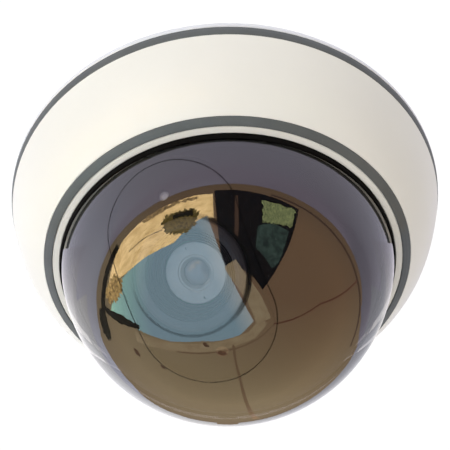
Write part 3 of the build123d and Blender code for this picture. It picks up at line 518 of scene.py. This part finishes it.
# sunlit wall with a tree, a shrub, a hedge and a wire in front of it
aimed_card("sunlit_wall", (-140, -10), WALL,
           [(172, -9), (-163, -5), (-148, -5), (-130, -5), (-110, -5), (-99, -6), (-100, -22),
            (-112, -22), (-132, -29), (-155, -24), (-174, -18)],
           emitter("sunlit", (7.4, 5.3, 2.55), (4.3, 2.9, 1.15), 0.8, 0.30, (1, 1, 3.0)))
aimed_card("tree_crown", (-124, -18), LEAVES,
           ragged([(-134, -14), (-130, -11), (-122, -12), (-112, -13), (-109, -17), (-113, -24), (-120, -27),
                   (-128, -25), (-134, -21)], 1.3),
           emitter("leaves", (1.3, 0.95, 0.28), (0.35, 0.26, 0.07), 1.0, 0.05))
aimed_card("tree_shade", (-120, -15), 1.75,
           ragged([(-126, -13), (-120, -13), (-112, -14), (-113, -18), (-120, -16), (-126, -16)], 0.9),
           emitter("shade", (0.05, 0.04, 0.02)))
aimed_card("shrub", (174, -14), NEAR,
           ragged([(181, -11), (182, -18), (176, -20), (168, -17), (164, -11), (167, -7), (173, -9)], 1.3),
           emitter("shrub_leaves", (4.6, 3.1, 1.2), (0.7, 0.45, 0.16), 1.0, 0.06))
aimed_card("hedge", (-133, -7), SKIRTING,
           ragged([(-145, -7), (-135, -8), (-120, -7), (-108, -8), (-108, -6), (-128, -5), (-145, -5)], 0.8),
           emitter("hedge_leaves", (3.0, 2.0, 0.9), (0.5, 0.33, 0.14), 1.0, 0.06))
strip("overhead_wire", [(-162, -13), (-148, -15), (-135, -18)], 0.5, SKIRTING,
      emitter("wire_dark", (1.6, 1.1, 0.6)))

# pool of skylight on the floor of the room: greener to the left, paler to the right
aimed_card("skylit_floor", (-160, -50), 1.6,
           [(-104, -20), (-98, -45), (-93, -57), (3, -76), (60, -79), (120, -74), (138, -68), (149, -50),
            (156, -33), (160, -12), (-178, -17), (-155, -24), (-132, -29), (-112, -22)],
           emitter("skylight", (1.30, 1.95, 2.35), fades=[
               ((-1, 0, 0), 1.3, 2.2, (2.1, 3.8, 3.2)),
               ((-1, 0, 0), 2.1, 2.6, (3.2, 5.4, 3.3)),
               ((0.8, -0.35, 0), 0.05, 0.65, (2.7, 2.85, 2.75))]))

# dark doorway with a window beyond it
aimed_card("doorway", (-72, -30), 2.0,
           [(-98, -4), (-86, -4), (-66, -5), (-46, -6), (-44, -30), (-42, -62), (-66, -57), (-88, -52),
            (-92, -57), (-98, -48)],
           emitter("doorway_dark", (0.01, 0.015, 0.02), (0.04, 0.03, 0.035), 0.9, 0.12, (1, 1, 0.3)))
aimed_card("far_window", (-58, -15), THROUGH_DOOR,
           ragged([(-69, -9), (-48, -8), (-47, -19), (-60, -22), (-67, -23)], 0.8),
           emitter("window_green", (2.0, 2.3, 1.0), (0.20, 0.24, 0.12), 0.9, 0.045, (2.6, 2.6, 0.4)))
aimed_card("far_floor", (-56, -34), THROUGH_DOOR,
           [(-70, -26), (-60, -22), (-48, -22), (-45, -42), (-47, -48), (-58, -44), (-68, -40)],
           emitter("window_teal", (0.30, 0.50, 0.42), (0.07, 0.12, 0.12), 0.9, 0.12))
aimed_card("door_frame", (-80, -20), THROUGH_DOOR,
           [(-86, -8), (-84, -8), (-83, -30), (-84, -40), (-86, -40), (-86, -25)],
           emitter("frame_brown", (0.45, 0.26, 0.18)))

# skirting along the floor, and seams in the walls
beam = emitter("beam_glow", (1.95, 1.55, 0.95), (1.35, 0.95, 0.55), 0.7, 0.2)
seam = emitter("seam_glow", (0.95, 0.62, 0.36))
side_seam = emitter("side_seam_glow", (0.62, 0.26, 0.17))
wall_brown = emitter("wall_line_brown", (0.34, 0.21, 0.15))
strip("skirting_right", [(-90, -52), (-84, -57), (-72, -63), (-45, -69), (-15, -71), (5, -70)],
      9, SKIRTING, beam)
strip("skirting_low", [(5, -70), (40, -74), (76, -76), (105, -73), (122, -68), (138, -57), (147, -42),
                       (151, -28)], 6, SKIRTING, beam)
strip("skirting_line", [(-66, -57), (-45, -62), (-10, -64), (11, -63), (40, -69), (76, -71), (105, -68),
                        (122, -62), (138, -50)], 1.1, LINES, seam)
strip("seam_far", [(84, -74), (84, -60), (83, -47), (83, -20), (83, 10)], 1.3, LINES, seam)
strip("seam_side", [(12, -64), (10, -52), (6, -33), (9, -20), (11, -3)], 1.1, LINES, side_seam)
strip("wall_line", [(-64, -4), (-40, -4), (-15, -4), (10, -3), (30, -1), (45, 1)], 1.3, SKIRTING, wall_brown)

# small things by the skirting
for mark, azimuth, elevation, size in (("lamp_shade", 102, -67, 3.2), ("low_stool", 140, -23, 2.6),
                                       ("floor_bag", 129, -33, 1.6), ("beam_knot", 129, -68, 2.2)):
    wide = size / math.cos(math.radians(elevation))
    tall = 0.6 * size
    outline = [(azimuth + wide * math.cos(1.05 * step), elevation + tall * math.sin(1.05 * step))
               for step in range(6)]
    aimed_card(mark, (azimuth, elevation), LEAVES, ragged(outline, 0.12, 3),
               emitter(mark + "_brown", (0.50, 0.28, 0.17), (0.75, 0.45, 0.28), 0.6, 0.05))

# a dark figure at the edge, with one leg stretched out
aimed_card("figure_leg", (159, -18), NEAR,
           ragged([(163, -4), (160, -9), (162, -21), (160, -33), (157, -32), (156, -18), (157, -9),
                   (158, -5)], 0.5),
           emitter("figure_dark", (0.05, 0.045, 0.03), (0.16, 0.14, 0.08), 0.6, 0.06))
figure_shade = emitter("figure_shade", (0.03, 0.03, 0.02), (0.20, 0.17, 0.10), 0.7, 0.08)
aimed_card("figure_body", (148, -6), 1.72,
           ragged([(158, -5), (154, -8), (148, -8.5), (143, -7), (141, -3.5), (144, -1.5), (150, -1.5),
                   (156, -2.5)], 0.5), figure_shade)
strip("figure_edge", [(-166, -4.5), (180, -5.5), (170, -6), (160, -6), (150, -6)], 3.4, 1.68, figure_shade)


# ------------------------------------------------------------------ surroundings and light
def background(tree, color, strength):
    made = node(tree, "ShaderNodeBackground")
    made.inputs["Strength"].default_value = strength
    if isinstance(color, tuple):
        made.inputs["Color"].default_value = (*color, 1.0)
    else:
        tree.links.new(color, made.inputs["Color"])
    return made.outputs[0]


def either(tree, factor, first, second):
    """The first background where the factor is 0, the second where it is 1."""
    made = node(tree, "ShaderNodeMixShader")
    tree.links.new(factor, made.inputs["Fac"])
    tree.links.new(first, made.inputs[1])
    tree.links.new(second, made.inputs[2])
    return made.outputs[0]


def brown_room(tree):
    """Redder to the right, yellower and lighter behind, dark along the ceiling line."""
    where = node(tree, "ShaderNodeTexCoord")
    behind = spread(tree, along(tree, where.outputs["Generated"], (-0.6, 0.8, 0.0)), 0.0, 1.0, -0.45, 0.60)
    room = blend(tree, behind, (1.0, 0.62, 0.36), (1.45, 1.12, 0.66))
    split = node(tree, "ShaderNodeSeparateXYZ")
    tree.links.new(where.outputs["Generated"], split.inputs[0])
    edge = spread(tree, split.outputs["Z"], 0.0, 1.0, -0.28, 0.28)
    return blend(tree, edge, room, (0.50, 0.37, 0.24))


world = bpy.data.worlds.new("studio")
bpy.context.scene.world = world
world.use_nodes = True
air = world.node_tree
air.nodes.clear()
sky = node(air, "ShaderNodeOutputWorld")
paths = node(air, "ShaderNodeLightPath")
soft = background(air, (1.0, 1.0, 1.0), 0.50)
dim = background(air, (0.05, 0.045, 0.035), 1.0)
room = background(air, brown_room(air), 1.0)
backdrop = background(air, (1.0, 1.0, 1.0), 1.05)
# past the rim of the dome the eye meets the dim room instead of the backdrop
unseen = either(air, paths.outputs["Is Camera Ray"], soft, dim)
around = either(air, paths.outputs["Is Glossy Ray"], unseen, room)
straight = sums(air, "SUBTRACT", 1.0, sums(air, "MINIMUM", paths.outputs["Transparent Depth"], 1.0))
open_view = sums(air, "MULTIPLY", paths.outputs["Is Camera Ray"], straight)
air.links.new(either(air, open_view, around, backdrop), sky.inputs["Surface"])

floor = studio_mesh("floor", [(-6, -6, 0), (6, -6, 0), (6, 6, 0), (-6, 6, 0)], [(0, 1, 2, 3)],
                    surface("pale_floor", (0.80, 0.80, 0.79), 0.7, grain_mm=3, grain_depth=0.02, vary=0.02,
                            vary_mm=300))
floor.location = (0, 0, FLOOR)
floor.visible_glossy = False


def area(name, place, target, size, power, color=(1, 1, 1)):
    data = bpy.data.lights.new(name, "AREA")
    data.shape = "DISK"
    data.size = size
    data.energy = power
    data.color = color
    made = bpy.data.objects.new(name, data)
    bpy.context.scene.collection.objects.link(made)
    made.location = place
    made.rotation_euler = (Vector(target) - Vector(place)).to_track_quat("-Z", "Y").to_euler()
    made.visible_glossy = False
    return made


area("key_light", (-0.75, -0.75, -0.35), HEART, 0.6, 6.9, (1.0, 0.985, 0.945))
area("fill_light", (0.95, -0.25, -0.5), HEART, 0.7, 2.0, (1.0, 0.84, 0.68))
area("back_light", (0.3, 0.9, -0.25), HEART, 0.7, 1.2)
area("back_left_light", (-0.55, 0.80, -0.32), HEART, 0.6, 3.5)
area("top_light", (0.2, -0.3, 1.0), (0, 0, 0), 0.8, 5.0)

# ------------------------------------------------------------------ camera
EYE = Vector((-0.00609, -0.17668, -0.2257))
AHEAD = Vector((0.0205, 0.6256, 0.7799)).normalized()
SIDE = Vector((0.9997, 0.0, -0.0263)).normalized()
OVER = SIDE.cross(AHEAD).normalized()
lens_data = bpy.data.cameras.new("camera")
lens_data.sensor_width = 36.0
lens_data.lens = 80.0
lens_data.clip_start = 0.01
camera = bpy.data.objects.new("camera", lens_data)
bpy.context.scene.collection.objects.link(camera)
turn = Matrix((SIDE, OVER, -AHEAD)).transposed()
camera.matrix_world = Matrix.Translation(EYE) @ turn.to_4x4()
bpy.context.scene.camera = camera

bpy.context.scene.view_settings.view_transform = "Standard"
bpy.context.scene.view_settings.look = "None"
